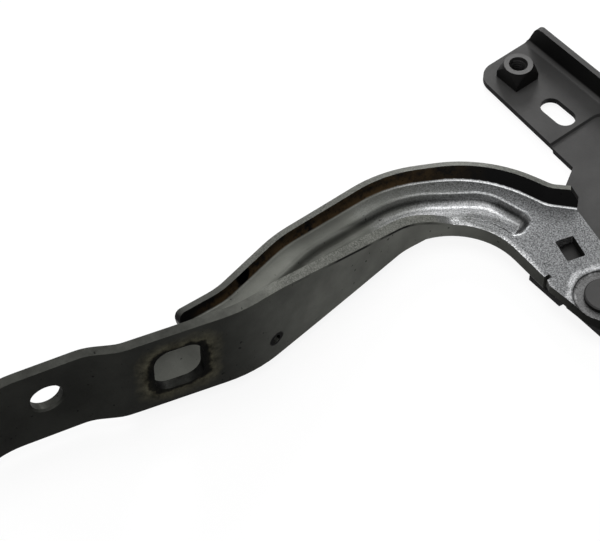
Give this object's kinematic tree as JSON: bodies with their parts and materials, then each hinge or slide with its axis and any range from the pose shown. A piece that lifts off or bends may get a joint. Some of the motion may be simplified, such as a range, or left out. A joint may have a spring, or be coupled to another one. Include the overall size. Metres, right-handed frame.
{
  "type": "hood hinge",
  "caption": "Vehicle hood hinge: formed gooseneck hood arm riveted to a flat flanged body bracket with slotted holes and a weld nut.",
  "frame": {"origin": "midway between the two slots of the body bracket, on the underside of its mounting pads", "axes": "+X along the row of slots towards the pivot's end, +Y towards the stiffening flange, +Z along the pivot, from the body face to the arm"},
  "size_m": [0.1028, 0.2348, 0.0336],
  "materials": {
    "arm_steel": "dark grey coated steel, satin, worn",
    "bracket_steel": "grey coated steel, satin",
    "rivet_steel": "dull grey steel",
    "bush_bronze": "dull sintered bronze",
    "nut_steel": "grey coated steel"
  },
  "bodies": {
    "bracket": {"body_bracket": "bracket_steel", "weld_nut": "nut_steel", "pivot_rivet": "rivet_steel", "pivot_bush": "bush_bronze"},
    "arm": {"hood_arm": "arm_steel"}
  },
  "joints": [
    {"name": "hood_swing", "type": "hinge", "parent": "bracket", "child": "arm", "pos_m": [0.03495, -0.0433, 0.008], "axis": [0, 0, 1], "range_deg": [0, 65]}
  ]
}
